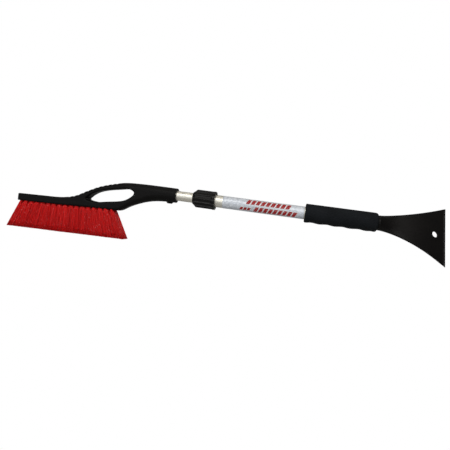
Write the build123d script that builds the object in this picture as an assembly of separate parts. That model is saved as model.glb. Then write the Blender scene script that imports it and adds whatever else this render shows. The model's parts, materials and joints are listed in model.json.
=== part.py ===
"""Telescoping snow brush with an ice scraper.

An outer aluminium tube carries a foam grip and a flared scraper blade. A thinner tube slides and turns inside
it and carries the brush head. A twist collar at the outer tube's mouth presses a split ring onto the inner
tube, which locks it.

Everything is modelled on the tube axis: X runs along the tubes, with X = 0 just right of the collar, the brush
towards -X and the blade towards +X. Z is up, so the bristles hang down, and Y is across. At the end the whole
tool is moved so that its origin is the middle of its box in plan, at the height of its lowest point.
All sizes are in millimetres.
"""

from build123d import *

import os
from math import cos, degrees, radians, sin, tan

# Tubes
OUTER_R = 12.7
OUTER_WALL = 1.2
OUTER_MOUTH_X = -26.0
OUTER_END_X = 319.5
INNER_R = 10.3
INNER_WALL = 1.0
INNER_START_X = -148.0
INNER_END_X = 262.0
BORE_R = OUTER_R - OUTER_WALL

# Label sleeve and foam grip on the outer tube
LABEL_START_X = 13.5
LABEL_END_X = 179.0
LABEL_THICKNESS = 0.15
GRIP_START_X = 180.2
GRIP_END_X = 319.3
GRIP_R = 19.0
GRIP_GAP = 0.1
GRIP_LEFT_ROUNDING = 2.0
GRIP_RIGHT_ROUNDING = 5.0

# Twist lock
LOCK_START_X = -44.0
LOCK_SEAT_X = -38.0
LOCK_END_X = -5.0
LOCK_R = 15.0
SEAT_R = 13.0
BUSH_END_X = 24.0
SLIDE_R = 10.4
BODY_CHAMFER = 1.2
COLLAR_START_X = -50.5
COLLAR_END_X = -2.6
COLLAR_TAPER = 8.5
COLLAR_NOSE_R = 13.2
COLLAR_R = 19.0
COLLAR_BREAK = 1.0
COLLAR_MOUTH_R = 10.9
COLLAR_BORE_R = 15.1
FLUTES = 14
FLUTE_R = 5.0
FLUTE_DEPTH = 1.4
FLUTE_START_X = -45.0
FLUTE_END_X = -7.2
CONE_START_X = -48.2
CONE_END_X = -44.8
CONE_SMALL_R = 11.2
CONE_GAP = 0.1
RING_BORE_R = 10.38
RING_SEATED = 1.6
RING_SPLIT = 1.6
LOCK_PIN_X = -15.0
LOCK_PIN_R = 1.5
PIN_TRIM = 0.05

# Plug and guide ring on the hidden end of the inner tube
PLUG_LENGTH = 18.0
PLUG_FLANGE = 2.0
PLUG_FLANGE_R = 11.2
GUIDE_WIDTH = 5.4
GUIDE_SIDE_GAP = 0.3
GUIDE_R = 11.45
GUIDE_FLOOR_R = 9.2
GUIDE_FLOOR_GAP = 0.1
GUIDE_SPLIT = 1.4
PLUG_CHAMFER = 0.8
PLUG_PIN_R = 1.5

# Brush head: sections along X, each with its top, its bottom, half its width and its upper and lower corner radii
HEAD_SECTIONS = [
    (-445.0, -40.7, -56.4, 15.0, 2.5, 2.5),
    (-425.0, -40.0, -55.7, 15.0, 2.5, 2.5),
    (-390.0, -38.8, -54.6, 15.0, 2.5, 2.5),
    (-360.0, -37.8, -53.7, 15.0, 3.5, 2.5),
    (-335.0, -35.4, -52.8, 15.0, 5.5, 3.0),
    (-310.0, -28.5, -52.0, 14.8, 7.5, 4.0),
    (-285.0, -15.3, -51.2, 14.4, 8.5, 4.5),
    (-260.0, -3.2, -50.4, 14.0, 9.5, 5.0),
    (-235.0, 5.1, -49.6, 13.8, 11.0, 5.5),
    (-213.0, 10.6, -48.6, 13.8, 12.0, 6.5),
    (-203.0, 12.5, -45.8, 14.0, 12.3, 8.0),
    (-190.0, 13.8, -38.0, 14.3, 12.8, 10.0),
    (-175.0, 14.5, -30.8, 14.8, 13.4, 11.5),
    (-155.0, 15.0, -23.2, 15.2, 13.9, 13.0),
    (-135.0, 15.2, -18.2, 15.3, 14.3, 14.0),
    (-112.0, 15.2, -15.7, 15.3, 14.3, 14.3),
    (-86.0, 15.1, -15.1, 15.1, 14.2, 14.2),
]
BAR_END_SECTION = 4
HEAD_STEPS = 46
HAND_HOLE = [
    (-284.0, -30.8),
    (-267.1, -17.3),
    (-239.0, -7.5),
    (-208.2, -1.7),
    (-187.0, -0.7),
    (-178.0, -5.8),
    (-188.0, -19.4),
    (-208.8, -28.2),
    (-240.0, -33.3),
    (-274.0, -35.4),
]
HAND_HOLE_ROUNDING = 4.0
RIB_GROOVES = 11
RIB_FIRST_X = -325.0
RIB_LAST_X = -221.0
RIB_GROOVE_R = 3.2
RIB_GROOVE_DEPTH = 2.0
NECK_END_X = -86.0
SOCKET_X = -150.0
SOCKET_R = 10.35

# Head screw in its boss under the neck
SCREW_X = -100.5
SCREW_R = 1.8
SCREW_GAP = 0.02
SCREW_HEAD_R = 3.4
SCREW_HEAD_HEIGHT = 2.2
SCREW_SINK = 0.2
SCREW_TIP_Z = -7.0
SCREW_RECESS = (4.0, 0.9, 2.4)
BOSS_TIP_R = 4.8
BOSS_FOOT_R = 10.0
BOSS_FOOT_Z = -11.5
BOSS_BOTTOM_Z = -18.6

# Bristle tufts
TUFTS_PER_ROW = 17
FIRST_TUFT_X = -439.9
LAST_TUFT_X = -223.8
ROW_OFFSETS = [-9.0, -3.0, 3.0, 9.0]
ROW_SPLAY = 0.19
END_LEANS = (20.0, 26.0)
TUFT_ROOT_R = 2.4
TUFT_TIP_R = (6.4, 3.7)
TUFT_HOLE_R = 2.5
TUFT_HOLE_DEPTH = 8.0
TUFT_ROOT_DEPTH = 5.5
TUFT_REACH = 74.0
TRIM_LEFT = (-475.0, -116.3)
TRIM_SLOPE = 1.76
ANCHOR_SIZE = (4.4, 0.35, 1.7)

# Scraper blade: a plate bent along an arc and turned about the tube axis
BLADE_TURN = -22.0
BLADE_THICKNESS = 3.6
BEND_R = 329.8
BEND_ANGLE = 23.95
NECK_HALF_WIDTH = 14.2
MID_HALF_WIDTH = 31.2
EDGE_HALF_WIDTH = 61.4
EDGE_FLARE = 27.0
BEYOND_EDGE = 10.0
BLADE_LENGTH = 134.2
BEVEL_LENGTH = 12.0
FRONT_BEVEL_LENGTH = 5.5
FRONT_BEVEL_DEPTH = 0.9
EDGE_THICKNESS = 0.9
HANG_HOLE_R = 6.3
HANG_HOLE_FROM_EDGE = 24.2
FAIRING_LENGTH = 46.0
FAIRING_WIDTH = 45.0
FAIRING_THICKNESS = 4.0
SHOULDER = 3.0
SHANK_LENGTH = 42.0
SHANK_R = 11.45
SHANK_WEB = 3.6
SHANK_THICK_WEB = 7.9
SHANK_DISC = 4.0
BLADE_PIN_X = 301.0
BLADE_PIN_R = 2.0
BLADE_PIN_BORE_R = 1.1
BLADE_PIN_REACH = 12.5
BLADE_PIN_SLOT = 0.8


# Length of cutting tools that pass right through a piece
THROUGH = 90.0


def rod(radius, start_x, end_x):
    """A solid cylinder on the tube axis."""
    middle = (start_x + end_x) / 2
    return Pos(middle, 0, 0) * Rot(0, 90, 0) * Cylinder(radius, end_x - start_x)


def sleeve(outer_r, inner_r, start_x, end_x):
    """A hollow cylinder on the tube axis."""
    return rod(outer_r, start_x, end_x) - rod(inner_r, start_x - 1, end_x + 1)


def turned(*points):
    """A solid turned about the tube axis from (x, radius) corners."""
    return revolve(make_face(Polyline(*points, close=True)), axis=Axis.X)


def cross_pin(radius, x, reach):
    """A pin across the tube axis, along Y, that ends at reach on both sides."""
    return Pos(x, 0, 0) * Rot(90, 0, 0) * Cylinder(radius, 2 * reach)


def outer_tube():
    tube = sleeve(OUTER_R, BORE_R, OUTER_MOUTH_X, OUTER_END_X)
    tube -= cross_pin(LOCK_PIN_R, LOCK_PIN_X, LOCK_R + 1)
    return tube - blade_pin_hole()


def inner_tube():
    tube = sleeve(INNER_R, INNER_R - INNER_WALL, INNER_START_X, INNER_END_X)
    tube -= cross_pin(PLUG_PIN_R, INNER_END_X - PLUG_LENGTH / 2, INNER_R + 1)
    return tube - screw_bore()


def label_sleeve():
    return sleeve(OUTER_R + LABEL_THICKNESS, OUTER_R, LABEL_START_X, LABEL_END_X)


def foam_grip():
    """The grip's plain outer form, with rounded ends."""
    grip = sleeve(GRIP_R, OUTER_R + GRIP_GAP, GRIP_START_X, GRIP_END_X)
    rims = grip.edges().filter_by(GeomType.CIRCLE).group_by(SortBy.RADIUS)[-1].sort_by(Axis.X)
    grip = fillet(rims[-1], GRIP_RIGHT_ROUNDING)
    rims = grip.edges().filter_by(GeomType.CIRCLE).group_by(SortBy.RADIUS)[-1].sort_by(Axis.X)
    return fillet(rims[0], GRIP_LEFT_ROUNDING)


def lock_body():
    """The sleeve fixed over the outer tube's mouth, with the cone that the clamp ring is pressed into."""
    body = turned(
        (LOCK_START_X, SEAT_R),
        (LOCK_START_X, LOCK_R - BODY_CHAMFER),
        (LOCK_START_X + BODY_CHAMFER, LOCK_R),
        (LOCK_END_X, LOCK_R),
        (LOCK_END_X, OUTER_R),
        (OUTER_MOUTH_X, OUTER_R),
        (OUTER_MOUTH_X, SLIDE_R),
        (LOCK_SEAT_X, SLIDE_R),
    )
    return body - cross_pin(LOCK_PIN_R, LOCK_PIN_X, LOCK_R + 1)


def lock_pins():
    """Two pins, flush with the lock body, that hold it on the outer tube."""
    wall = sleeve(LOCK_R - PIN_TRIM, BORE_R + PIN_TRIM, OUTER_MOUTH_X, LOCK_END_X)
    both = cross_pin(LOCK_PIN_R, LOCK_PIN_X, LOCK_R + 1) & wall
    return Compound(children=both.solids())


def stop_bush():
    """The nylon bush in the outer tube's mouth that guides the inner tube and stops its plug."""
    return sleeve(BORE_R, SLIDE_R, OUTER_MOUTH_X, BUSH_END_X)


def clamp_ring():
    """The split double-cone ring between the lock body and the collar."""
    seat_slope = (SEAT_R - SLIDE_R) / (LOCK_SEAT_X - LOCK_START_X)
    nose_x = LOCK_SEAT_X - RING_SEATED
    nose_r = SLIDE_R + seat_slope * RING_SEATED - CONE_GAP
    ring = turned(
        (CONE_START_X, RING_BORE_R),
        (CONE_START_X, CONE_SMALL_R),
        (CONE_END_X, SEAT_R - CONE_GAP),
        (LOCK_START_X, SEAT_R - CONE_GAP),
        (nose_x, nose_r),
        (nose_x, RING_BORE_R),
    )
    length = nose_x - CONE_START_X
    split = Box(length + 2, RING_SPLIT, 2 * SEAT_R)
    return ring - Pos(CONE_START_X + length / 2, 0, SEAT_R) * split


def twist_collar():
    """The fluted nut that is turned by hand."""
    taper_end_x = COLLAR_START_X + COLLAR_TAPER
    collar = turned(
        (COLLAR_START_X, COLLAR_MOUTH_R),
        (COLLAR_START_X, COLLAR_NOSE_R - COLLAR_BREAK),
        (COLLAR_START_X + COLLAR_BREAK, COLLAR_NOSE_R),
        (taper_end_x - COLLAR_BREAK, COLLAR_R - COLLAR_BREAK / 2),
        (taper_end_x, COLLAR_R),
        (COLLAR_END_X - COLLAR_BREAK, COLLAR_R),
        (COLLAR_END_X, COLLAR_R - COLLAR_BREAK),
        (COLLAR_END_X, COLLAR_BORE_R + COLLAR_BREAK),
        (COLLAR_END_X - COLLAR_BREAK, COLLAR_BORE_R),
        (CONE_END_X + COLLAR_BREAK, COLLAR_BORE_R),
        (CONE_END_X, SEAT_R + CONE_GAP),
        (CONE_START_X, CONE_SMALL_R + CONE_GAP),
        (CONE_START_X - CONE_GAP, COLLAR_MOUTH_R),
    )
    flute = rod(FLUTE_R, FLUTE_START_X, FLUTE_END_X)
    flutes = [
        Rot(360 * n / FLUTES, 0, 0) * Pos(0, 0, COLLAR_R + FLUTE_R - FLUTE_DEPTH) * flute
        for n in range(FLUTES)
    ]
    return collar - flutes


def tube_plug():
    """The plug in the hidden end of the inner tube, with the groove that the guide ring sits in."""
    groove_start = INNER_END_X + PLUG_FLANGE
    groove_end = groove_start + GUIDE_WIDTH + 2 * GUIDE_SIDE_GAP
    plug = turned(
        (INNER_END_X - PLUG_LENGTH, 0),
        (INNER_END_X - PLUG_LENGTH, INNER_R - INNER_WALL - PLUG_CHAMFER),
        (INNER_END_X - PLUG_LENGTH + 2 * PLUG_CHAMFER, INNER_R - INNER_WALL),
        (INNER_END_X, INNER_R - INNER_WALL),
        (INNER_END_X, PLUG_FLANGE_R),
        (groove_start, PLUG_FLANGE_R),
        (groove_start, GUIDE_FLOOR_R),
        (groove_end, GUIDE_FLOOR_R),
        (groove_end, PLUG_FLANGE_R),
        (groove_end + PLUG_FLANGE, PLUG_FLANGE_R - PLUG_CHAMFER),
        (groove_end + PLUG_FLANGE, 0),
    )
    return plug - cross_pin(PLUG_PIN_R, INNER_END_X - PLUG_LENGTH / 2, INNER_R + 1)


def plug_pin():
    return cross_pin(PLUG_PIN_R, INNER_END_X - PLUG_LENGTH / 2, INNER_R - PIN_TRIM)


def guide_ring():
    """The split ring on the plug that runs in the outer tube's bore."""
    start = INNER_END_X + PLUG_FLANGE + GUIDE_SIDE_GAP
    ring = sleeve(GUIDE_R, GUIDE_FLOOR_R + GUIDE_FLOOR_GAP, start, start + GUIDE_WIDTH)
    return ring - Pos(start, 0, GUIDE_R) * Box(4 * GUIDE_WIDTH, GUIDE_SPLIT, GUIDE_R)


def head_shape(x):
    """The head's section values at x, on a smooth curve through HEAD_SECTIONS."""
    last = len(HEAD_SECTIONS) - 2
    n = next((i for i in range(last) if x < HEAD_SECTIONS[i + 1][0]), last)
    before, low, high, after = (HEAD_SECTIONS[max(0, min(last + 1, n + k))] for k in (-1, 0, 1, 2))
    span = high[0] - low[0]
    t = (x - low[0]) / span
    values = []
    for k in range(1, len(low)):
        low_slope = (high[k] - before[k]) / (high[0] - before[0]) * span
        high_slope = (after[k] - low[k]) / (after[0] - low[0]) * span
        cubic = low_slope + high_slope - 2 * (high[k] - low[k])
        square = 3 * (high[k] - low[k]) - 2 * low_slope - high_slope
        values.append(low[k] + t * (low_slope + t * (square + t * cubic)))
    return values


def head_section(x):
    top, bottom, half_width, upper_corner, lower_corner = head_shape(x)
    section = Rectangle(2 * half_width, top - bottom)
    section = fillet(section.vertices().group_by(Axis.Y)[-1], upper_corner)
    section = fillet(section.vertices().group_by(Axis.Y)[0], lower_corner)
    return Plane(origin=(x, 0, (top + bottom) / 2), x_dir=(0, 1, 0), z_dir=(1, 0, 0)) * section


def tuft_frames():
    """Each row's tuft places: at the bar's underside, with local +Z up the hole and -Z along the bristles."""
    x_start, _, z_start, *_ = HEAD_SECTIONS[0]
    x_end, _, z_end, *_ = HEAD_SECTIONS[BAR_END_SECTION]
    slope = (z_end - z_start) / (x_end - x_start)
    rows = []
    pitch = (LAST_TUFT_X - FIRST_TUFT_X) / (TUFTS_PER_ROW - 1)
    for y in ROW_OFFSETS:
        frames = []
        for n in range(TUFTS_PER_ROW):
            along = 2 * n / (TUFTS_PER_ROW - 1) - 1
            lean = END_LEANS[along > 0] * along * abs(along)
            x = FIRST_TUFT_X + pitch * n
            z = z_start + slope * (x - x_start)
            frames.append(Pos(x, y, z) * Rot(ROW_SPLAY * y, -lean, 0))
        rows.append(frames)
    return rows


def brush_head():
    """One moulding: the bristle bar, the hand loop and the round neck that the inner tube plugs into."""
    start_x = HEAD_SECTIONS[0][0]
    step = (NECK_END_X - start_x) / HEAD_STEPS
    head = loft([head_section(start_x + step * n) for n in range(HEAD_STEPS + 1)])
    boss_height = BOSS_FOOT_Z - BOSS_BOTTOM_Z
    boss = Cone(BOSS_TIP_R, BOSS_FOOT_R, boss_height)
    head += Pos(SCREW_X, 0, BOSS_BOTTOM_Z + boss_height / 2) * boss
    head = cut_hand_hole(head)
    pitch = (RIB_LAST_X - RIB_FIRST_X) / (RIB_GROOVES - 1)
    for n in range(RIB_GROOVES):
        x = RIB_FIRST_X + pitch * n
        height = head_shape(x)[0] + RIB_GROOVE_R - RIB_GROOVE_DEPTH
        head -= Pos(x, 0, height) * Rot(90, 0, 0) * Cylinder(RIB_GROOVE_R, THROUGH)
    head -= rod(SOCKET_R, SOCKET_X, NECK_END_X + 1)
    head -= screw_bore()
    recess = SCREW_HEAD_HEIGHT + SCREW_SINK
    head -= Pos(SCREW_X, 0, BOSS_BOTTOM_Z + recess / 2) * Cylinder(SCREW_HEAD_R + SCREW_SINK, recess)
    downwards = (Align.CENTER, Align.CENTER, Align.MAX)
    drill = Pos(0, 0, TUFT_HOLE_DEPTH) * Cylinder(TUFT_HOLE_R, THROUGH, align=downwards)
    return head - [frame * drill for row in tuft_frames() for frame in row]


def cut_hand_hole(head):
    """The head with its hand hole, rounded along both rims."""
    hole_x = [x for x, _ in HAND_HOLE]
    head -= extrude(Plane.XZ * make_face(Spline(*HAND_HOLE, periodic=True)), THROUGH, both=True)
    inside = head.edges().filter_by_position(Axis.X, min(hole_x) - 2, max(hole_x) + 2)
    rims = inside.filter_by(lambda edge: edge.is_closed)
    return fillet(rims, HAND_HOLE_ROUNDING)


def screw_bore():
    length = SCREW_TIP_Z - BOSS_BOTTOM_Z + 1
    return Pos(SCREW_X, 0, BOSS_BOTTOM_Z + length / 2) * Cylinder(SCREW_R, length)


def head_screw():
    """A self-tapping screw through the boss into the inner tube's wall, with a cross recess."""
    seat_z = BOSS_BOTTOM_Z + SCREW_HEAD_HEIGHT + SCREW_SINK
    shank_length = SCREW_TIP_Z - seat_z
    screw = Pos(SCREW_X, 0, seat_z + shank_length / 2) * Cylinder(SCREW_R - SCREW_GAP, shank_length)
    screw += Pos(SCREW_X, 0, seat_z - SCREW_HEAD_HEIGHT / 2) * Cylinder(SCREW_HEAD_R, SCREW_HEAD_HEIGHT)
    for turn in (0, 90):
        slot = Rot(0, 0, turn) * Box(*SCREW_RECESS)
        screw -= Pos(SCREW_X, 0, seat_z - SCREW_HEAD_HEIGHT) * slot
    return screw


def bristle_row(frames):
    """One row of tufts, each spread along the bar from its hole to its tips, trimmed on the tips' plane."""
    tuft = Pos(0, 0, TUFT_ROOT_DEPTH / 2) * Cylinder(TUFT_ROOT_R, TUFT_ROOT_DEPTH)
    tuft += loft([Circle(TUFT_ROOT_R), Pos(0, 0, -TUFT_REACH) * Ellipse(*TUFT_TIP_R)])
    x, z = TRIM_LEFT
    trim = Plane(origin=(x, 0, z), z_dir=(-sin(radians(TRIM_SLOPE)), 0, cos(radians(TRIM_SLOPE))))
    tufts = [split(frame * tuft, bisect_by=trim, keep=Keep.TOP) for frame in frames]
    return Compound(children=[solid for each in tufts for solid in each.solids()])


def tuft_anchors():
    """The flat wire anchors that hold the tufts at the bottom of their holes."""
    depth = (TUFT_HOLE_DEPTH + TUFT_ROOT_DEPTH) / 2
    anchor = Pos(0, 0, depth) * Box(*ANCHOR_SIZE)
    placed = [frame * anchor for row in tuft_frames() for frame in row]
    return Compound(children=[solid for each in placed for solid in each.solids()])


def bend_point(distance, offset=0.0):
    """A point of the blade's bent middle, distance along the arc and offset towards its convex side."""
    angle = distance / BEND_R
    radius = BEND_R + offset
    return (OUTER_END_X + radius * sin(angle), BEND_R - radius * cos(angle))


def blade_pin_hole():
    return Rot(BLADE_TURN, 0, 0) * cross_pin(BLADE_PIN_R, BLADE_PIN_X, OUTER_R + 1)


def blade_plate():
    """The bent, bevelled and flared plate, before it is turned about the tube axis."""
    half = BLADE_THICKNESS / 2
    length = radians(BEND_ANGLE) * BEND_R
    flat = length - BEVEL_LENGTH
    front_flat = length - FRONT_BEVEL_LENGTH
    edge = half - FRONT_BEVEL_DEPTH
    side = [
        ThreePointArc(bend_point(0, half), bend_point(front_flat / 2, half), bend_point(front_flat, half)),
        Line(bend_point(front_flat, half), bend_point(length, edge)),
        Line(bend_point(length, edge), bend_point(length, edge - EDGE_THICKNESS)),
        Line(bend_point(length, edge - EDGE_THICKNESS), bend_point(flat, -half)),
        ThreePointArc(bend_point(flat, -half), bend_point(flat / 2, -half), bend_point(0, -half)),
        Line(bend_point(0, -half), bend_point(0, half)),
    ]
    bent = extrude(make_face(side), THROUGH, both=True)
    edge_x = OUTER_END_X + BLADE_LENGTH
    beyond_x = edge_x + BEYOND_EDGE
    beyond_half_width = EDGE_HALF_WIDTH + BEYOND_EDGE * tan(radians(EDGE_FLARE))
    mid_x = (OUTER_END_X + edge_x) / 2
    outline = []
    for sign in (1, -1):
        neck = (OUTER_END_X, sign * NECK_HALF_WIDTH)
        middle = (mid_x, sign * MID_HALF_WIDTH)
        corner = (edge_x, sign * EDGE_HALF_WIDTH)
        beyond = (beyond_x, sign * beyond_half_width)
        outline += [ThreePointArc(neck, middle, corner), Line(corner, beyond)]
    outline.append(Line(outline[1] @ 1, outline[3] @ 1))
    outline.append(Line(outline[0] @ 0, outline[2] @ 0))
    flare = extrude(Plane.XZ * make_face(outline), THROUGH, both=True)
    return bent & flare


def scraper_blade():
    """One moulding: the plate, a fairing that blends it into the round shoulder, and the ribbed shank."""
    plate = blade_plate()
    fairing_x, fairing_y = bend_point(FAIRING_LENGTH)
    shoulder_x = OUTER_END_X + SHOULDER
    ends = [
        Plane(origin=(shoulder_x, 0, 0), x_dir=(0, 1, 0), z_dir=(1, 0, 0)) * Circle(NECK_HALF_WIDTH),
        Plane(origin=(fairing_x, fairing_y, 0), x_dir=(0, 1, 0), z_dir=(1, 0, 0))
        * Ellipse(FAIRING_THICKNESS / 2, FAIRING_WIDTH / 2),
    ]
    blade = plate + loft(ends) + rod(NECK_HALF_WIDTH, OUTER_END_X, shoulder_x)
    shank_x = OUTER_END_X - SHANK_LENGTH
    webs = Pos(OUTER_END_X - SHANK_LENGTH / 2, 0, 0) * (
        Box(SHANK_LENGTH, SHANK_THICK_WEB, 2 * SHANK_R) + Box(SHANK_LENGTH, 2 * SHANK_R, SHANK_WEB)
    )
    blade += webs & rod(SHANK_R, shank_x, OUTER_END_X)
    blade += rod(SHANK_R, shank_x, shank_x + SHANK_DISC)
    hole_distance = radians(BEND_ANGLE) * BEND_R - HANG_HOLE_FROM_EDGE
    hole_x, hole_y = bend_point(hole_distance)
    hole_tilt = degrees(hole_distance / BEND_R)
    blade -= Pos(hole_x, hole_y, 0) * Rot(0, 0, hole_tilt) * Rot(90, 0, 0) * Cylinder(HANG_HOLE_R, THROUGH)
    return Rot(BLADE_TURN, 0, 0) * blade - blade_pin_hole()


def blade_pin():
    """A slotted roll pin through the tube and the blade's shank, flush with the tube."""
    pin = cross_pin(BLADE_PIN_R, BLADE_PIN_X, BLADE_PIN_REACH)
    pin -= cross_pin(BLADE_PIN_BORE_R, BLADE_PIN_X, BLADE_PIN_REACH + 1)
    pin -= Pos(BLADE_PIN_X + BLADE_PIN_R, 0, 0) * Box(2 * BLADE_PIN_R, THROUGH, BLADE_PIN_SLOT)
    return Rot(BLADE_TURN, 0, 0) * pin


def model():
    """Every piece by name, on the tube axis."""
    pieces = {
        "outer_tube": outer_tube(),
        "label_sleeve": label_sleeve(),
        "foam_grip": foam_grip(),
        "lock_body": lock_body(),
        "lock_pins": lock_pins(),
        "stop_bush": stop_bush(),
        "scraper_blade": scraper_blade(),
        "blade_pin": blade_pin(),
        "clamp_ring": clamp_ring(),
        "twist_collar": twist_collar(),
        "guide_ring": guide_ring(),
        "inner_tube": inner_tube(),
        "tube_plug": tube_plug(),
        "plug_pin": plug_pin(),
        "brush_head": brush_head(),
        "head_screw": head_screw(),
        "tuft_anchors": tuft_anchors(),
    }
    for number, frames in enumerate(tuft_frames(), start=1):
        pieces[f"bristle_row_{number}"] = bristle_row(frames)
    return pieces


def main():
    pieces = model()
    box = pieces["outer_tube"].bounding_box()
    for piece in pieces.values():
        box = box.add(piece.bounding_box())
    middle = box.center()
    to_origin = Pos(-middle.X, -middle.Y, -box.min.Z)
    os.makedirs("parts", exist_ok=True)
    for name, piece in pieces.items():
        export_step(to_origin * piece, f"parts/{name}.step")
    print("tube axis at", to_origin.position, "box", box.size)


main()
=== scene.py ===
"""Looks of the telescoping snow brush with its ice scraper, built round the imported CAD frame.

Lengths are metres. X runs along the tubes, Z is up and the viewer stands on the -Y side.
"""

import json
import math
import random

import bmesh
import bpy
from mathutils import Matrix, Vector, noise


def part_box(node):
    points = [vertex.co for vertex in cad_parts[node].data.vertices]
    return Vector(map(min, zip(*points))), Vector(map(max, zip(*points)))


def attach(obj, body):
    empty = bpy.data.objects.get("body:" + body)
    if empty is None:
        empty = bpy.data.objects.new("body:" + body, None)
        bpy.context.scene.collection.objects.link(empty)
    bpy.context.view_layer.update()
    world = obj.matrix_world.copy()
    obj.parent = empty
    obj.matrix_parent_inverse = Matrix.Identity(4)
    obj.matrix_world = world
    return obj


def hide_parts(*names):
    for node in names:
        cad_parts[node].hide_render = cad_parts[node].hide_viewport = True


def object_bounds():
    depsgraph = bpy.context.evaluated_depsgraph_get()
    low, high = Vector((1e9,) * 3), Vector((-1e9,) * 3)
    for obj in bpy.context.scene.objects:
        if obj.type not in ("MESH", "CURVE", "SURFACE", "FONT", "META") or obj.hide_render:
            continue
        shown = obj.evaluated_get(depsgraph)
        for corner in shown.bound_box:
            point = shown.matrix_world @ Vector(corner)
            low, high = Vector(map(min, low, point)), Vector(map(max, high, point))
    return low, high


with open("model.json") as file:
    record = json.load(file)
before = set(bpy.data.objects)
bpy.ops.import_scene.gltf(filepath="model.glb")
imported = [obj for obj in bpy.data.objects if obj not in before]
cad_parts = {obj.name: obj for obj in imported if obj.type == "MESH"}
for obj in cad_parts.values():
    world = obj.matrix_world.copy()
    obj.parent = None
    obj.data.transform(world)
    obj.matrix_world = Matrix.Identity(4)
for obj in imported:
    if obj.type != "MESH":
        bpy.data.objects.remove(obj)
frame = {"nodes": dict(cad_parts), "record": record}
cad_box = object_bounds()

MM = 0.001


# ---------------------------------------------------------------- places taken from the frame

tube_low, tube_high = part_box("outer_tube")
AXIS_Y = (tube_low.y + tube_high.y) / 2
AXIS_Z = (tube_low.z + tube_high.z) / 2
TUBE_R = (tube_high.y - tube_low.y) / 2
TUBE_END_X = tube_high.x


def on_axis(x, radius, angle):
    """A point round the tube axis. Angle 0 faces the viewer (-Y), a quarter turn is up."""
    return Vector((x, AXIS_Y - radius * math.cos(angle), AXIS_Z + radius * math.sin(angle)))


# ---------------------------------------------------------------- material tools

# Sockets of the Mix node in its colour mode, which share their names with other modes' sockets.
MIX_FIRST, MIX_SECOND, MIX_RESULT = 6, 7, 2


class Nodes:
    """A short way to write one material's node tree. Texture scales are per metre."""

    def __init__(self, name):
        self.material = bpy.data.materials.new(name)
        self.material.use_nodes = True
        self.tree = self.material.node_tree
        self.shader = self.tree.nodes["Principled BSDF"]
        self.position = self.new("ShaderNodeTexCoord").outputs["Object"]

    def new(self, kind, **values):
        node = self.tree.nodes.new(kind)
        for key, value in values.items():
            setattr(node, key, value)
        return node

    def link(self, source, target):
        self.tree.links.new(source, target)

    def put(self, target, value):
        """Sets an input to a plain value or links an output to it."""
        if hasattr(value, "is_output"):
            self.link(value, target)
        else:
            target.default_value = value

    def set(self, **values):
        """Principled inputs by name, with _ for a space."""
        for key, value in values.items():
            self.put(self.shader.inputs[key.replace("_", " ")], value)

    def stretched(self, scale):
        """Object coordinates in metres times a scale per axis."""
        mapping = self.new("ShaderNodeMapping")
        self.link(self.position, mapping.inputs["Vector"])
        mapping.inputs["Scale"].default_value = scale
        return mapping.outputs["Vector"]

    def noise(self, scale, detail=3.0, roughness=0.5, stretch=None):
        node = self.new("ShaderNodeTexNoise")
        self.link(self.stretched(stretch) if stretch else self.position, node.inputs["Vector"])
        node.inputs["Scale"].default_value = scale
        node.inputs["Detail"].default_value = detail
        node.inputs["Roughness"].default_value = roughness
        return node.outputs["Fac"]

    def cells(self, scale):
        node = self.new("ShaderNodeTexVoronoi")
        self.link(self.position, node.inputs["Vector"])
        node.inputs["Scale"].default_value = scale
        return node.outputs["Distance"]

    def ramp(self, value, low, high, to_low=0.0, to_high=1.0):
        """The value's stretch from low to high carried over to another stretch, and held at its ends."""
        node = self.new("ShaderNodeMapRange")
        self.link(value, node.inputs["Value"])
        node.inputs["From Min"].default_value = low
        node.inputs["From Max"].default_value = high
        node.inputs["To Min"].default_value = to_low
        node.inputs["To Max"].default_value = to_high
        return node.outputs["Result"]

    def maths(self, operation, first, second):
        node = self.new("ShaderNodeMath", operation=operation)
        self.put(node.inputs[0], first)
        self.put(node.inputs[1], second)
        return node.outputs[0]

    def mix(self, share, first, second):
        node = self.new("ShaderNodeMix", data_type="RGBA")
        self.put(node.inputs["Factor"], share)
        self.put(node.inputs[MIX_FIRST], first)
        self.put(node.inputs[MIX_SECOND], second)
        return node.outputs[MIX_RESULT]

    def bump(self, height, distance, strength=1.0, under=None):
        node = self.new("ShaderNodeBump")
        self.link(height, node.inputs["Height"])
        node.inputs["Distance"].default_value = distance
        node.inputs["Strength"].default_value = strength
        if under is not None:
            self.link(under, node.inputs["Normal"])
        return node.outputs["Normal"]


def aluminium():
    """Drawn tube: fine lengthwise lines and faint cloudiness."""
    m = Nodes("aluminium")
    lines = m.noise(1.0, detail=4.0, stretch=(12, 2600, 2600))
    clouds = m.noise(28.0, detail=2.0)
    tone = m.maths("ADD", m.ramp(lines, 0.3, 0.7, 0.42, 0.58), m.ramp(clouds, 0.3, 0.7, -0.15, 0.15))
    m.set(
        Base_Color=m.mix(tone, (0.66, 0.64, 0.57, 1), (0.83, 0.805, 0.72, 1)),
        Metallic=1.0,
        Roughness=m.ramp(lines, 0.25, 0.75, 0.36, 0.46),
        Normal=m.bump(lines, 0.004 * MM, 0.5),
    )
    return m.material


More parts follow.
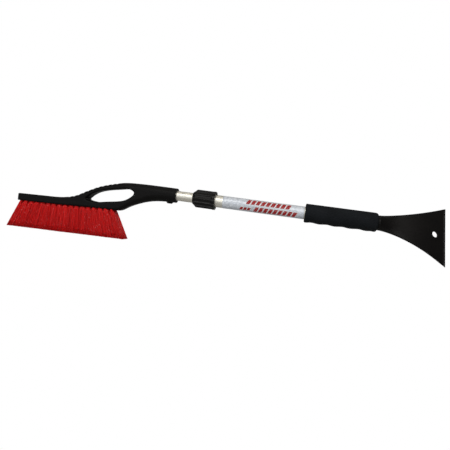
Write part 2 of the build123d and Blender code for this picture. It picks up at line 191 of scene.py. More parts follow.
def label_film():
    """Silvery blue printed film, slightly puckered on the tube, with pale blotches in its print."""
    m = Nodes("label_film")
    pucker = m.noise(60.0, detail=2.0, stretch=(0.35, 1, 1))
    blotches = m.noise(230.0, detail=4.0, roughness=0.65)
    grain = m.noise(1800.0, detail=2.0)
    tone = m.maths("ADD", m.ramp(blotches, 0.38, 0.62, 0.0, 0.7), m.ramp(pucker, 0.3, 0.7, 0.0, 0.3))
    m.set(
        Base_Color=m.mix(tone, (0.46, 0.49, 0.55, 1), (0.70, 0.73, 0.78, 1)),
        Metallic=0.3,
        Roughness=m.ramp(grain, 0.3, 0.7, 0.38, 0.50),
        Coat_Weight=0.25,
        Coat_Roughness=0.25,
        Normal=m.bump(pucker, 0.12 * MM, 0.5),
    )
    return m.material


def label_ink(name, colour):
    """Screen-printed ink: thin, slightly uneven."""
    m = Nodes(name)
    uneven = m.noise(900.0, detail=3.0)
    dark = tuple(0.72 * c for c in colour) + (1,)
    m.set(
        Base_Color=m.mix(m.ramp(uneven, 0.35, 0.65), dark, colour + (1,)),
        Roughness=m.ramp(uneven, 0.3, 0.7, 0.42, 0.55),
        Specular_IOR_Level=0.35,
        Normal=m.bump(uneven, 0.01 * MM, 0.5),
    )
    return m.material


def foam():
    """Closed-cell foam: matt, with fine pores in a soft skin."""
    m = Nodes("foam")
    pores = m.cells(1100.0)
    coarse = m.noise(420.0, detail=4.0, roughness=0.6)
    patches = m.noise(40.0, detail=2.0)
    skin = m.bump(coarse, 0.3 * MM, 0.8)
    dark, pale = (0.0042, 0.0050, 0.0062, 1), (0.0072, 0.0085, 0.0105, 1)
    m.set(
        Base_Color=m.mix(m.ramp(patches, 0.3, 0.7), dark, pale),
        Roughness=m.ramp(coarse, 0.3, 0.7, 0.72, 0.92),
        Specular_IOR_Level=0.13,
        Normal=m.bump(pores, 0.2 * MM, 0.7, skin),
    )
    return m.material


# How much paler, as linear colour, worn plastic and plastic with a painted highlight are.
WORN_AND_HIGHLIT_PALER = 0.05


def moulded_black(name, colour, gloss, shine, grain_depth):
    """Moulded plastic: spark-eroded grain, faint flow marks, light scuffs, and where the mesh's attribute
    asks for it, wear together with painted highlights. gloss is the middle roughness and shine the specular
    level."""
    m = Nodes(name)
    grain = m.noise(2300.0, detail=3.0, roughness=0.6)
    flow = m.noise(22.0, detail=3.0, stretch=(0.4, 1, 1))
    streaks = m.noise(1.0, detail=5.0, roughness=0.7, stretch=(60, 900, 240))
    # The mesh attribute holds real wear and painted highlights; both pale the colour towards the worn tone.
    wear_and_highlight = m.new("ShaderNodeAttribute", attribute_name="wear_and_highlight").outputs["Fac"]
    rubbed_and_highlit = m.maths("MULTIPLY", wear_and_highlight, m.ramp(streaks, 0.4, 0.6))
    scuffs_and_highlights = m.maths("ADD", m.ramp(streaks, 0.66, 0.78, 0.0, 0.35), rubbed_and_highlit)
    light = tuple(1.6 * c for c in colour) + (1,)
    worn_and_highlit = tuple(c + WORN_AND_HIGHLIT_PALER for c in colour) + (1,)
    base = m.mix(m.ramp(flow, 0.3, 0.7), colour + (1,), light)
    dulled = m.maths("MULTIPLY", scuffs_and_highlights, 0.25)
    rough = m.maths("ADD", m.ramp(flow, 0.3, 0.7, gloss - 0.05, gloss + 0.05), dulled)
    m.set(
        Base_Color=m.mix(scuffs_and_highlights, base, worn_and_highlit),
        Roughness=rough,
        Specular_IOR_Level=shine,
        Normal=m.bump(grain, grain_depth, 0.5),
    )
    return m.material


def nylon():
    """Off-white moulded nylon of the guides, slightly translucent."""
    m = Nodes("nylon")
    grain = m.noise(1500.0, detail=3.0)
    tone = m.noise(90.0, detail=2.0)
    m.set(
        Base_Color=m.mix(m.ramp(tone, 0.3, 0.7), (0.55, 0.54, 0.49, 1), (0.66, 0.65, 0.60, 1)),
        Roughness=m.ramp(grain, 0.3, 0.7, 0.42, 0.56),
        Subsurface_Weight=0.1,
        Subsurface_Scale=1.0 * MM,
        Normal=m.bump(grain, 0.02 * MM, 0.5),
    )
    return m.material


def steel():
    """Plated steel of the screw, pins and anchors."""
    m = Nodes("steel")
    grain = m.noise(1600.0, detail=4.0)
    tone = m.noise(200.0, detail=2.0)
    m.set(
        Base_Color=m.mix(m.ramp(tone, 0.3, 0.7), (0.45, 0.45, 0.46, 1), (0.66, 0.66, 0.67, 1)),
        Metallic=1.0,
        Roughness=m.ramp(grain, 0.3, 0.7, 0.28, 0.45),
        Normal=m.bump(grain, 0.01 * MM, 0.6),
    )
    return m.material


def red_filament():
    """Plastic filament whose red varies from one to the next, with small pale glints painted into its
    colour.
    """
    m = Nodes("red_filament")
    shade = m.new("ShaderNodeAttribute", attribute_name="shade").outputs["Fac"]
    streaks = m.noise(1.0, detail=2.0, stretch=(900, 900, 60))
    tone = m.maths("ADD", m.maths("MULTIPLY", shade, 0.8), m.maths("MULTIPLY", streaks, 0.2))
    red = m.mix(m.ramp(tone, 0.1, 0.9), (0.56, 0.003, 0.004, 1), (0.92, 0.014, 0.014, 1))
    # Painted highlight: small pale pink specks mixed into the base colour where a fine noise peaks.
    painted_glints = m.ramp(m.noise(420.0, detail=1.0), 0.68, 0.74, 0.0, 0.9)
    m.set(
        Base_Color=m.mix(painted_glints, red, (0.95, 0.34, 0.34, 1)),
        Roughness=m.ramp(streaks, 0.3, 0.7, 0.38, 0.5),
        Specular_IOR_Level=0.25,
        Normal=m.bump(streaks, 0.02 * MM, 0.4),
    )
    return m.material


# ---------------------------------------------------------------- mesh tools


def mesh_piece(name, points, faces, material, body, smooth=True):
    """A mesh object from points and faces that rides on a CAD body."""
    mesh = bpy.data.meshes.new(name)
    mesh.from_pydata([tuple(p) for p in points], [], faces)
    mesh.validate()
    if smooth:
        mesh.polygons.foreach_set("use_smooth", [True] * len(mesh.polygons))
    mesh.materials.append(material)
    piece = bpy.data.objects.new(name, mesh)
    bpy.context.scene.collection.objects.link(piece)
    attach(piece, body)
    return piece


def turned_shell(name, loop, segments, material, body, shape):
    """A closed ring body: a loop of (x, radius) points carried round the tube axis, with the radius that
    shape(x, radius, angle) gives."""
    points = []
    for x, radius in loop:
        for s in range(segments):
            angle = 2 * math.pi * s / segments
            points.append(on_axis(x, shape(x, radius, angle), angle))
    faces = []
    count = len(loop)
    for i in range(count):
        for s in range(segments):
            a, b = i * segments, (i + 1) % count * segments
            t = (s + 1) % segments
            faces.append((a + s, a + t, b + t, b + s))
    return mesh_piece(name, points, faces, material, body)


def arc(centre_x, centre_r, radius, start, end, steps):
    """Points of (x, radius) along an arc, angles in degrees from +X towards larger radius."""
    return [
        (
            centre_x + radius * math.cos(math.radians(start + (end - start) * n / steps)),
            centre_r + radius * math.sin(math.radians(start + (end - start) * n / steps)),
        )
        for n in range(steps + 1)
    ]


def line(start, end, steps):
    """Points between two (x, radius) points, without the last."""
    return [
        (start[0] + (end[0] - start[0]) * n / steps, start[1] + (end[1] - start[1]) * n / steps)
        for n in range(steps)
    ]


# ---------------------------------------------------------------- foam grip


def foam_grip(material):
    """The foam tube with rounded ends and shallow finger waves underneath."""
    low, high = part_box("foam_grip")
    radius = (high.y - low.y) / 2
    bore = TUBE_R + 0.15 * MM
    left, right, lip = 2.2 * MM, 5.0 * MM, 0.6 * MM
    wave_pitch, wave_depth, wave_fade = 30 * MM, 1.3 * MM, 12 * MM
    core = 2 * MM
    loop = line((low.x + left, radius), (high.x - right, radius), 190)
    loop += arc(high.x - right, radius - right, right, 90, 0, 8)
    loop += line((high.x, radius - right), (high.x, bore + lip), 3)[1:]
    loop += arc(high.x - lip, bore + lip, lip, 0, -90, 3)
    loop += line((high.x - lip, bore), (low.x + lip, bore), 12)[1:]
    loop += arc(low.x + lip, bore + lip, lip, -90, -180, 3)
    loop += line((low.x, bore + lip), (low.x, radius - left), 3)[1:]
    loop += arc(low.x + left, radius - left, left, 180, 90, 6)[:-1]

    def waves(x, r, angle):
        """Finger waves below and a skin that isn't quite even, none of it near the bore."""
        outer = max(0.0, min(1.0, (r - bore - core) / (radius - bore - core)))
        under = max(0.0, -math.sin(angle)) ** 1.5
        ends = min(1.0, (x - low.x) / wave_fade, (high.x - x) / wave_fade)
        wave = 0.5 - 0.5 * math.cos(2 * math.pi * (x - low.x) / wave_pitch)
        place = on_axis(x, r, angle)
        skin = 0.10 * MM * noise.noise(place * 700) + 0.12 * MM * noise.noise(place * 160)
        return r + outer * (skin - 0.1 * MM - wave_depth * under * max(0.0, ends) * wave)

    grip = turned_shell("grip_foam", loop, 200, material, "pole", waves)
    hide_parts("foam_grip")


# ---------------------------------------------------------------- twist collar

FLUTES = 14
RIDGE_SHARPNESS = 5
# How narrow and how strong the paling of the ridge crests is: wear together with a painted highlight.
RIDGE_HIGHLIGHT_SHARPNESS = 8
RIDGE_WEAR_AND_HIGHLIGHT = 0.9


def twist_collar(material):
    """The fluted nut with soft edges, an open mouth at the tube end and a tapered nose."""
    low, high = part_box("twist_collar")
    radius = (high.y - low.y) / 2
    x0, x1 = low.x, high.x
    nose_r, mouth_r, bore = 13.2 * MM, 10.9 * MM, 15.1 * MM
    cone_start, cone_end = x0 + 2.3 * MM, x0 + 5.7 * MM
    cone_small_r, cone_large_r = 11.3 * MM, 13.1 * MM
    rim, lip, mouth_edge, nose_edge, shoulder = 1.0 * MM, 0.6 * MM, 0.5 * MM, 1.2 * MM, 2.6 * MM
    loop = arc(x1 - rim, radius - rim, rim, 90, 0, 5)
    loop += arc(x1 - lip, bore + lip, lip, 0, -90, 4)
    loop += line((x1 - 2 * MM, bore), (cone_end + rim, bore), 4)
    loop += [(cone_end + rim, bore), (cone_end, cone_large_r), (cone_start, cone_small_r)]
    loop += [(cone_start - 0.1 * MM, mouth_r)]
    loop += arc(x0 + mouth_edge, mouth_r + mouth_edge, mouth_edge, -90, -180, 4)
    loop += arc(x0 + nose_edge, nose_r - nose_edge, nose_edge, 180, 125, 5)
    loop += line((x0 + nose_edge, nose_r), (x0 + 7.0 * MM, radius - rim), 18)[1:]
    loop += arc(x0 + 9.0 * MM, radius - shoulder, shoulder, 130, 90, 8)
    loop += line((x0 + 9.4 * MM, radius), (x1 - rim, radius), 60)
    start, end = x0 + 4.0 * MM, x1 - 5.0 * MM
    run_in, run_out = 5 * MM, 2.2 * MM
    depth = 1.9 * MM

    def flutes(x, r, angle):
        """Wide flutes between narrow ridges, faded in from the nose and out before the plain rim."""
        if r < nose_r:
            return r
        along = max(0.0, min(1.0, (x - start) / run_in, (end - x) / run_out))
        along = along * along * (3 - 2 * along)
        wave = 0.5 + 0.5 * math.cos(FLUTES * angle)
        return r - depth * along * (1 - wave**RIDGE_SHARPNESS)

    collar = turned_shell("collar_shell", loop, FLUTES * 22, material, "collar", flutes)
    # Pales the ridge crests in the colour: wear together with a painted highlight where light catches them.
    ridges = collar.data.attributes.new("wear_and_highlight", "FLOAT", "POINT")
    ridges.data.foreach_set("value", [ridge_wear_and_highlight(vertex.co, nose_r) for vertex in collar.data.vertices])
    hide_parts("twist_collar")


def ridge_wear_and_highlight(place, nose_r):
    """How rubbed the collar is at a point, with a painted highlight laid over it: both most on the crests of
    its ridges.
    """
    y, z = place.y - AXIS_Y, place.z - AXIS_Z
    if math.hypot(y, z) < nose_r:
        return 0.0
    wave = 0.5 + 0.5 * math.cos(FLUTES * math.atan2(z, -y))
    return RIDGE_WEAR_AND_HIGHLIGHT * wave**RIDGE_HIGHLIGHT_SHARPNESS


# ---------------------------------------------------------------- label

BAR_SLANT = math.tan(math.radians(24))
BAR_SHARE = 0.74
BAR_BORDER = 0.7 * MM
INK_THICKNESS = 0.03 * MM
FILM_SWELL = 0.14 * MM
FILM_PUCKER = 0.05 * MM
LAP_THICKNESS = 0.12 * MM
LAP_HALF_ANGLE = 0.16
# Each row's ends as shares of the label's length, its lower and upper edge round the tube, and its bars.
LABEL_ROWS = [
    (0.29, 0.83, 2.0 * MM, 12.4 * MM, 9),
    (0.385, 0.905, -13.2 * MM, -2.0 * MM, 9),
    (0.215, 0.355, -11.6 * MM, -5.0 * MM, 3),
]


def label_sleeve(material):
    """The printed film: a thin closed sleeve with a slight pucker and a lapped edge at the back."""
    low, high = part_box("label_sleeve")
    outer = (high.y - low.y) / 2
    edge = 0.08 * MM
    loop = line((low.x, outer - edge), (low.x + edge, outer), 1)
    loop += line((low.x + edge, outer), (high.x - edge, outer), 150)
    loop += [(high.x - edge, outer), (high.x, outer - edge), (high.x, TUBE_R), (low.x, TUBE_R)]

    def pucker(x, r, angle):
        """A soft unevenness outside and the doubled film of the lap at the back."""
        if r < outer - 0.01 * MM:
            return r
        place = on_axis(x, r, angle)
        soft = noise.noise(Vector((place.x * 35, place.y * 120, place.z * 120)))
        lap = LAP_THICKNESS if abs(angle - math.pi) < LAP_HALF_ANGLE else 0.0
        return r + FILM_PUCKER * (soft + 0.6) + lap

    sleeve = turned_shell("label_film", loop, 128, material, "pole", pucker)
    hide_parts("label_sleeve")


def curved_slab(points, faces, x0, x1, v0, v1, radius, thickness):
    """Adds one slanted bar of ink, lying on the tube. v runs up round the tube from the viewer's side,
    in metres of arc."""
    across, around = 2, 4
    base = len(points)
    for level in (radius, radius + thickness):
        for j in range(around + 1):
            v = v0 + (v1 - v0) * j / around
            for i in range(across + 1):
                x = x0 + (x1 - x0) * i / across + BAR_SLANT * (v - v0)
                points.append(on_axis(x, level, v / TUBE_R))
    row = across + 1
    layer = row * (around + 1)
    for j in range(around):
        for i in range(across):
            a = base + j * row + i
            faces.append((a, a + row, a + row + 1, a + 1))
            b = a + layer
            faces.append((b, b + 1, b + row + 1, b + row))
    rim = [base + i for i in range(row)]
    rim += [base + j * row + across for j in range(1, around + 1)]
    rim += [base + around * row + i for i in range(across - 1, -1, -1)]
    rim += [base + j * row for j in range(around - 1, 0, -1)]
    for a, b in zip(rim, rim[1:] + rim[:1]):
        faces.append((a, b, b + layer, a + layer))


def label_bars(red, white):
    """Rows of plain slanted bars, red with a pale border, in place of any lettering."""
    low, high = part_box("label_sleeve")
    outer = (high.y - low.y) / 2 + FILM_SWELL
    length = high.x - low.x
    for name, material, grow, level in (
        ("label_bar_borders", white, BAR_BORDER, outer),
        ("label_bars", red, 0.0, outer + INK_THICKNESS),
    ):
        points, faces = [], []
        for start, end, bottom, top, count in LABEL_ROWS:
            pitch = (end - start) * length / count
            v0, v1 = bottom - grow, top + grow
            for n in range(count):
                x0 = low.x + start * length + pitch * n
                x1 = x0 + pitch * BAR_SHARE
                curved_slab(points, faces, x0 - grow, x1 + grow, v0, v1, level, INK_THICKNESS)
        mesh_piece(name, points, faces, material, "pole", smooth=False)


# ---------------------------------------------------------------- moulded pieces

SOFTENING_ROUNDS = 3
HEAD_VOXEL = 0.7 * MM
BLADE_VOXEL = 0.6 * MM


def softened(name, mesh, node, material, body, voxel):
    """A piece made of one mesh with its sharp edges softened by an even remesh and smoothing.
    It stands in for the node."""
    rough = bpy.data.objects.new(name + "_rough", mesh)
    bpy.context.scene.collection.objects.link(rough)
    remesh = rough.modifiers.new("remesh", "REMESH")
    remesh.mode = "VOXEL"
    remesh.voxel_size = voxel
    remesh.use_smooth_shade = True
    soften = rough.modifiers.new("soften", "SMOOTH")
    soften.factor = 0.5
    soften.iterations = SOFTENING_ROUNDS
    soft = baked_mesh(rough)
    soft.name = name
    soft.materials.clear()
    soft.materials.append(material)
    piece = bpy.data.objects.new(name, soft)
    bpy.context.scene.collection.objects.link(piece)
    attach(piece, body)
    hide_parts(node)
    return piece


def baked_mesh(rough):
    """The mesh of an object with its modifiers applied. The object itself goes."""
    depsgraph = bpy.context.evaluated_depsgraph_get()
    mesh = bpy.data.meshes.new_from_object(rough.evaluated_get(depsgraph))
    bpy.data.objects.remove(rough)
    return mesh


def welded_copy(node):
    """A bmesh copy of a CAD node whose faces share their vertices."""
    copy = bmesh.new()
    copy.from_mesh(frame["nodes"][node].data)
    bmesh.ops.remove_doubles(copy, verts=copy.verts, dist=0.005 * MM)
    return copy


def brush_head(material):
    """The head's moulding, from its CAD form."""
    copy = welded_copy("brush_head")
    mesh = bpy.data.meshes.new("head_copy")
    copy.to_mesh(mesh)
    copy.free()
    softened("head_moulding", mesh, "brush_head", material, "head", HEAD_VOXEL)


# ---------------------------------------------------------------- scraper blade

# The blade is turned about the tube axis, bent along an arc and flared from its neck to its edge.
BLADE_TURN = math.radians(-22)
BEND_R = 329.8 * MM
BLADE_ARC = math.radians(23.95) * BEND_R
NECK_R = 14.2 * MM
MID_HALF_WIDTH = 31.2 * MM
EDGE_HALF_WIDTH = 61.4 * MM
PLATE_HALF = 1.8 * MM
BEVEL_LENGTH = 12 * MM
FRONT_BEVEL_LENGTH = 5.5 * MM
SHOULDER = 3 * MM
FAIRING_LENGTH = 19 * MM
HOLE_FROM_EDGE = 24.2 * MM
# Drawn a little under its real radius, because softening rounds its rim outwards.
HOLE_R = 5.9 * MM
EDGE_WEAR = 0.4
EDGE_WEAR_LENGTH = 4 * MM
# Width of the painted highlight along the line where the front bevel starts.
HIGHLIGHT_LINE_WIDTH = 0.9 * MM
BLADE_ROWS = 130
BLADE_COLUMNS = 90


def blade_place(distance, across, offset):
    """A point of the blade: distance along its bend, across its width, offset towards its convex side."""
    angle = distance / BEND_R
    y = BEND_R - (BEND_R + offset) * math.cos(angle)
    turned_y = y * math.cos(BLADE_TURN) - across * math.sin(BLADE_TURN)
    turned_z = y * math.sin(BLADE_TURN) + across * math.cos(BLADE_TURN)
    x = TUBE_END_X + (BEND_R + offset) * math.sin(angle)
    return Vector((x, AXIS_Y + turned_y, AXIS_Z + turned_z))


def blade_half_width(distance):
    """Half the flared outline's width: a parabola through the neck, the middle and the edge."""
    t = math.sin(distance / BEND_R) / math.sin(BLADE_ARC / BEND_R)
    middle, edge = MID_HALF_WIDTH - NECK_R, EDGE_HALF_WIDTH - NECK_R
    return NECK_R + (4 * middle - edge) * t + (2 * edge - 4 * middle) * t * t


def blade_half_thickness(distance, across, half_width):
    """Half the thickness: a plate with round rims, and the fairing that starts as the round neck and
    dies out in it."""
    fade = math.exp(-max(0.0, distance - SHOULDER) / FAIRING_LENGTH)
    fairing = NECK_R * fade * math.sqrt(max(0.0, 1 - (across / half_width) ** 2))
    rim = max(0.0, min(1.0, (abs(across) - half_width + PLATE_HALF) / PLATE_HALF))
    plate = PLATE_HALF * math.sqrt(1 - rim * rim)
    return math.hypot(fairing, plate)


def bevel_factor(distance, side):
    """Where a side's surface lies, in half thicknesses: both sides slope towards the scraping edge."""
    if side > 0:
        return 1 - 0.5 * max(0.0, 1 - (BLADE_ARC - distance) / FRONT_BEVEL_LENGTH)
    return -1 + max(0.0, 1 - (BLADE_ARC - distance) / BEVEL_LENGTH)


def blade_shell():
    """The blade as a closed mesh: a convex side and a concave side over one grid, met at the rims."""
    points, faces = [], []
    row = BLADE_COLUMNS + 1
    for side in (1, -1):
        for n in range(BLADE_ROWS + 1):
            distance = BLADE_ARC * n / BLADE_ROWS
            half_width = blade_half_width(distance)
            factor = bevel_factor(distance, side)
            for k in range(row):
                across = -half_width * math.cos(math.pi * k / BLADE_COLUMNS)
                half = blade_half_thickness(distance, across, half_width)
                points.append(blade_place(distance, across, half * factor))
    back = row * (BLADE_ROWS + 1)
    for n in range(BLADE_ROWS):
        for k in range(BLADE_COLUMNS):
            a = n * row + k
            faces.append((a, a + 1, a + row + 1, a + row))
            faces.append((back + a, back + a + row, back + a + row + 1, back + a + 1))
    for k in range(BLADE_COLUMNS):
        last = BLADE_ROWS * row + k
        faces.append((k, back + k, back + k + 1, k + 1))
        faces.append((last, last + 1, back + last + 1, back + last))
    shell = bmesh.new()
    verts = [shell.verts.new(p) for p in points]
    for face in faces:
        shell.faces.new([verts[i] for i in face])
    bmesh.ops.remove_doubles(shell, verts=shell.verts, dist=0.01 * MM)
    bmesh.ops.recalc_face_normals(shell, faces=shell.faces)
    mesh = bpy.data.meshes.new("blade_shell")
    shell.to_mesh(mesh)
    shell.free()
    return mesh


def hole_cutter():
    """A round bar through the hang hole's place, square to the blade there."""
    distance = BLADE_ARC - HOLE_FROM_EDGE
    centre = blade_place(distance, 0, 0)
    normal = (blade_place(distance, 0, 1 * MM) - centre).normalized()
    bar = bmesh.new()
    turn = normal.to_track_quat("Z", "Y").to_matrix().to_4x4()
    bmesh.ops.create_cone(
        bar,
        cap_ends=True,
        segments=64,
        radius1=HOLE_R,
        radius2=HOLE_R,
        depth=20 * MM,
        matrix=Matrix.Translation(centre) @ turn,
    )
    mesh = bpy.data.meshes.new("hole_cutter")
    bar.to_mesh(mesh)
    bar.free()
    cutter = bpy.data.objects.new("hole_cutter", mesh)
    bpy.context.scene.collection.objects.link(cutter)
    return cutter


def scraper_blade(material):
    """The blade drawn along its bend, with its hang hole, joined to the ribbed shank in the tube."""
    blade = bpy.data.objects.new("blade_rough", blade_shell())
    bpy.context.scene.collection.objects.link(blade)
    cutter = hole_cutter()
    drill = blade.modifiers.new("hang hole", "BOOLEAN")
    drill.operation = "DIFFERENCE"
    drill.solver = "EXACT"
    drill.object = cutter
    mesh = baked_mesh(blade)
    bpy.data.objects.remove(cutter)
    shank = welded_copy("scraper_blade")
    everything = shank.verts[:] + shank.edges[:] + shank.faces[:]
    cut = (TUBE_END_X + SHOULDER / 2, 0, 0)
    bmesh.ops.bisect_plane(shank, geom=everything, plane_co=cut, plane_no=(1, 0, 0), clear_outer=True)
    bmesh.ops.holes_fill(shank, edges=[edge for edge in shank.edges if edge.is_boundary], sides=0)
    shank.from_mesh(mesh)
    shank.to_mesh(mesh)
    shank.free()
    piece = softened("blade_moulding", mesh, "scraper_blade", material, "pole", BLADE_VOXEL)
    # Wear at the scraping edge and a painted highlight along the bevel line, as one attribute that pales the
    # colour.
    wear_and_highlight = piece.data.attributes.new("wear_and_highlight", "FLOAT", "POINT")
    wear_and_highlight.data.foreach_set("value", [blade_wear_and_highlight(vertex.co) for vertex in piece.data.vertices])


def blade_wear_and_highlight(place):
    """How worn the blade is at a point, with a painted highlight: some wear at the scraping edge, fading
    behind it, and the painted highlight full on the line where the front bevel starts."""
    y = (place.y - AXIS_Y) * math.cos(BLADE_TURN) + (place.z - AXIS_Z) * math.sin(BLADE_TURN)
    distance = BEND_R * math.atan2(place.x - TUBE_END_X, BEND_R - y)
    if distance < 0:
        return 0.0
    from_edge = BLADE_ARC - distance
    # Painted highlight along the line where the front bevel starts.
    rubbed_and_highlit = max(0.0, 1 - abs(from_edge - FRONT_BEVEL_LENGTH) / HIGHLIGHT_LINE_WIDTH)
    return max(rubbed_and_highlit, EDGE_WEAR * (1 - from_edge / EDGE_WEAR_LENGTH), 0.0)


# ---------------------------------------------------------------- bristles

BRISTLE_ROWS = 4
FIRST_SEED = 100
FILAMENTS_PER_TUFT = 240
FILAMENT_R = 0.27 * MM
FILAMENT_TIP_R = 0.20 * MM
FILAMENT_STEPS = 5
FILAMENT_SIDES = 3
ROOT_SPREAD = 2.5 * MM
TIP_SPREAD_ALONG = 16.5 * MM
TIP_SPREAD_ACROSS = 4.2 * MM
LEFT_END_SPREAD = 1.0 * MM
RIGHT_END_SPREAD = 4.4 * MM
FAN_OUT = 0.62
ROOT_RING = 1.8 * MM
TIP_RING = 0.6 * MM
TRIM_SHORT, TRIM_LONG = 0.4 * MM, 0.9 * MM
STRAY = 0.8 * MM


def islands(mesh):
    """The positions of each connected part's vertices, part by part, in the order of the mesh's vertices."""
    seen = set()
    for start in mesh.verts:
        if start in seen:
            continue
        seen.add(start)
        island, waiting = [], [start]
        while waiting:
            vert = waiting.pop()
            island.append(vert.co.copy())
            for link in vert.link_edges:
                other = link.other_vert(vert)
                if other not in seen:
                    seen.add(other)
                    waiting.append(other)
        yield island


def tuft_lines(node):
    """(root, tip) centres of each CAD tuft in a row, found from the separate solids in the node's mesh."""
    mesh = bmesh.new()
    mesh.from_mesh(frame["nodes"][node].data)
    bmesh.ops.remove_doubles(mesh, verts=mesh.verts, dist=0.02 * MM)
    tufts = []
    for island in islands(mesh):
        top = max(p.z for p in island)
        bottom = min(p.z for p in island)
        upper = [p for p in island if p.z > top - ROOT_RING]
        lower = [p for p in island if p.z < bottom + TIP_RING]
        tufts.append((sum(upper, Vector()) / len(upper), sum(lower, Vector()) / len(lower)))
    mesh.free()
    return sorted(tufts, key=lambda tuft: tuft[0].x)


def filament_path(rng, root, tip, slope, left_limit, right_limit):
    """Centre line of one filament, from its hole to the trim line, which rises by slope along X.
    The tuft fans out to fill the room between tufts, and the limits turn it back at the bar's ends."""
    direction = (tip - root).normalized()
    side = Vector((0, 1, 0)).cross(direction).normalized()
    if side.x < 0:
        side.negate()
    across = direction.cross(side)
    u = rng.triangular(-1, 1, 0)
    v = rng.uniform(-1, 1) * math.sqrt(1 - u * u)
    along = TIP_SPREAD_ALONG * u
    if along < left_limit:
        along = 2 * left_limit - along
    if along > right_limit:
        along = 2 * right_limit - along
    root_shift = ROOT_SPREAD * (u * side + v * across)
    end = tip + along * side + (TIP_SPREAD_ACROSS * v + rng.gauss(0, STRAY)) * across
    trim_z = tip.z + slope * (end.x - tip.x) + rng.uniform(-TRIM_SHORT, TRIM_LONG)
    end += direction * ((trim_z - end.z) / direction.z)
    tip_shift = end - tip
    path = []
    for n in range(FILAMENT_STEPS + 1):
        t = n / FILAMENT_STEPS
        path.append(root.lerp(tip, t) + root_shift.lerp(tip_shift, t**FAN_OUT))
    return path


def add_filament(points, faces, path, turn):
    """Adds one filament along its path: a thin closed prism that tapers to its tip."""
    direction = (path[-1] - path[0]).normalized()
    side = direction.cross(Vector((0, 1, 0))).normalized()
    across = direction.cross(side)
    sides = FILAMENT_SIDES
    base = len(points)
    for n, centre in enumerate(path):
        radius = FILAMENT_R + (FILAMENT_TIP_R - FILAMENT_R) * n / FILAMENT_STEPS
        for s in range(sides):
            angle = turn + 2 * math.pi * s / sides
            points.append(centre + radius * (math.cos(angle) * side + math.sin(angle) * across))
    for n in range(FILAMENT_STEPS):
        a = base + n * sides
        for s in range(sides):
            t = (s + 1) % sides
            faces.append((a + s, a + sides + s, a + sides + t, a + t))
    last = base + FILAMENT_STEPS * sides
    faces.append(tuple(base + s for s in range(sides)))
    faces.append(tuple(last + s for s in reversed(range(sides))))


def bristle_row(number, material):
    """One row of tufts as separate filaments, each with its own shade of red."""
    node = f"bristle_row_{number}"
    rng = random.Random(FIRST_SEED + number)
    points, faces, shades = [], [], []
    tufts = tuft_lines(node)
    first_tip, last_tip = tufts[0][1], tufts[-1][1]
    slope = (last_tip.z - first_tip.z) / (last_tip.x - first_tip.x)
    for root, tip in tufts:
        left_limit = -LEFT_END_SPREAD if tip == first_tip else -TIP_SPREAD_ALONG
        right_limit = RIGHT_END_SPREAD if tip == last_tip else TIP_SPREAD_ALONG
        for _ in range(FILAMENTS_PER_TUFT):
            path = filament_path(rng, root, tip, slope, left_limit, right_limit)
            turn = rng.uniform(0, 2 * math.pi)
            shade = rng.random()
            add_filament(points, faces, path, turn)
            shades += [shade] * (len(points) - len(shades))
    row = mesh_piece(f"bristles_{number}", points, faces, material, "head")
    shade_layer = row.data.attributes.new("shade", "FLOAT", "POINT")
    shade_layer.data.foreach_set("value", shades)
    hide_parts(node)


# ---------------------------------------------------------------- stage

FLOOR_DROP = 0.25


def seen_white(tree, behind, kind):
    """Shows plain white, from a shader node of the given kind, to the camera and the shader behind it to
    every other ray, so the light stays under control."""
    white = tree.nodes.new(kind)
    white.inputs["Color"].default_value = (1, 1, 1, 1)
    white.inputs["Strength"].default_value = 1.0
    path = tree.nodes.new("ShaderNodeLightPath")
    switch = tree.nodes.new("ShaderNodeMixShader")
    tree.links.new(path.outputs["Is Camera Ray"], switch.inputs["Fac"])
    tree.links.new(behind, switch.inputs[1])
    tree.links.new(white.outputs[0], switch.inputs[2])
    return switch.outputs[0]


def stage():
    """A pale sweep: floor and back wall in one curved sheet, far enough below to keep its shadow out of
    the picture."""
    floor_z = cad_box[0][2] - FLOOR_DROP
    front_y, back_y, bend, height, half_width = -3.0, 2.2, 1.2, 4.0, 6.0
    profile = [(front_y, floor_z), (back_y - bend, floor_z)]
    for degrees in range(6, 91, 6):
        angle = math.radians(degrees)
        profile.append((back_y - bend + bend * math.sin(angle), floor_z + bend * (1 - math.cos(angle))))
    profile.append((back_y, floor_z + height))
    points = [(x, y, z) for x in (-half_width, half_width) for y, z in profile]
    count = len(profile)
    faces = [(i, i + 1, count + i + 1, count + i) for i in range(count - 1)]
    mesh = bpy.data.meshes.new("sweep")
    mesh.from_pydata(points, [], faces)
    mesh.polygons.foreach_set("use_smooth", [True] * len(mesh.polygons))
    sweep = bpy.data.objects.new("sweep", mesh)
    bpy.context.scene.collection.objects.link(sweep)
    m = Nodes("sweep_paper")
    fibre = m.noise(300.0, detail=2.0)
    m.set(
        Base_Color=m.mix(m.ramp(fibre, 0.3, 0.7), (0.52, 0.52, 0.52, 1), (0.56, 0.56, 0.56, 1)),
        Roughness=0.9,
        Specular_IOR_Level=0.1,
    )
    output = m.tree.nodes["Material Output"]
    m.link(seen_white(m.tree, m.shader.outputs[0], "ShaderNodeEmission"), output.inputs["Surface"])
    mesh.materials.append(m.material)


# Each light's name, place, width and height, power and colour. All of them aim at the tool's middle.
LIGHTS = [
    ("key", (0.1, -1.26, 1.17), (2.4, 0.8), 19, (1.0, 0.985, 0.94)),
    ("front", (0.1, -2.0, 0.02), (2.6, 1.3), 12, (0.97, 0.985, 1.0)),
    ("side", (-1.5, -1.56, 0.48), (1.0, 1.0), 5, (0.95, 0.97, 1.0)),
    ("top", (0.0, 0.14, 1.6), (2.4, 0.6), 5, (1.0, 0.94, 0.84)),
    ("back", (0.1, 1.7, 0.75), (2.4, 0.8), 7, (1.0, 0.985, 0.96)),
]


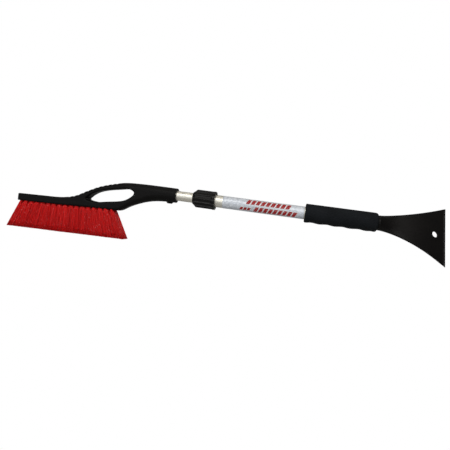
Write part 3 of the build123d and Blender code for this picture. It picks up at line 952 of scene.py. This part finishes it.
def area_light(name, place, size, power, colour):
    light = bpy.data.lights.new(name, "AREA")
    light.shape = "RECTANGLE"
    light.size, light.size_y = size
    light.energy = power
    light.color = colour
    lamp = bpy.data.objects.new(name, light)
    lamp.location = place
    aim = Vector((0.0, 0.0, AXIS_Z))
    lamp.rotation_euler = (aim - Vector(place)).to_track_quat("-Z", "Y").to_euler()
    bpy.context.scene.collection.objects.link(lamp)


def lights():
    """Soft studio light: a long box above and in front, a broad one behind the viewer, weaker ones around
    and a dim surround."""
    for light in LIGHTS:
        area_light(*light)
    world = bpy.data.worlds.new("surround")
    world.use_nodes = True
    tree = world.node_tree
    dim = tree.nodes["Background"]
    dim.inputs["Color"].default_value = (0.9, 0.95, 1.0, 1)
    dim.inputs["Strength"].default_value = 0.14
    seen = seen_white(tree, dim.outputs[0], "ShaderNodeBackground")
    tree.links.new(seen, tree.nodes["World Output"].inputs["Surface"])
    bpy.context.scene.world = world


# The camera's place from the outer tube's blade end, and its turns in degrees.
CAMERA_OFFSET = Vector((-0.1597, -0.8142, -0.0181))
CAMERA_YAW, CAMERA_PITCH, CAMERA_ROLL = 9.506, -1.973, 7.883
CAMERA_LENS, CAMERA_FILM = 32.0, 36.0


def camera():
    """The camera stands in front of the tool, level with it, turned slightly left and rolled."""
    view = bpy.data.cameras.new("camera")
    view.lens = CAMERA_LENS
    view.sensor_width = CAMERA_FILM
    eye = bpy.data.objects.new("camera", view)
    turn = Matrix.Rotation(math.radians(CAMERA_YAW), 4, "Z")
    turn @= Matrix.Rotation(math.radians(90 + CAMERA_PITCH), 4, "X")
    turn @= Matrix.Rotation(math.radians(CAMERA_ROLL), 4, "Z")
    place = Vector((TUBE_END_X, AXIS_Y, AXIS_Z)) + CAMERA_OFFSET
    eye.matrix_world = Matrix.Translation(place) @ turn
    bpy.context.scene.collection.objects.link(eye)
    bpy.context.scene.camera = eye
    bpy.context.scene.view_settings.view_transform = "Standard"


# ---------------------------------------------------------------- build


def smooth_cad(node):
    """Smooth shading on a kept CAD node, with its sharp edges left sharp by its own normals."""
    mesh = frame["nodes"][node].data
    mesh.polygons.foreach_set("use_smooth", [True] * len(mesh.polygons))


def main():
    head_plastic = moulded_black("black_plastic", (0.0028, 0.0026, 0.0025), 0.46, 0.09, 0.05 * MM)
    collar_plastic = moulded_black("black_collar", (0.0032, 0.0029, 0.0027), 0.32, 0.16, 0.02 * MM)
    blade_plastic = moulded_black("black_blade", (0.0036, 0.0030, 0.0028), 0.34, 0.11, 0.012 * MM)
    looks = {
        "aluminium": aluminium(),
        "nylon": nylon(),
        "steel": steel(),
        "black_plastic": head_plastic,
        "black_blade": blade_plastic,
    }
    for entry in frame["record"]["subparts"]:
        look = looks.get(entry["material_slot"])
        if look is not None:
            node = frame["nodes"][entry["node"]]
            for slot in node.material_slots:
                slot.material = look
            smooth_cad(entry["node"])
    brush_head(head_plastic)
    scraper_blade(blade_plastic)
    foam_grip(foam())
    twist_collar(collar_plastic)
    label_sleeve(label_film())
    red_ink = label_ink("label_red", (0.36, 0.008, 0.010))
    white_ink = label_ink("label_white", (0.85, 0.85, 0.85))
    label_bars(red_ink, white_ink)
    filament = red_filament()
    for number in range(1, BRISTLE_ROWS + 1):
        bristle_row(number, filament)
    stage()
    lights()
    camera()


main()
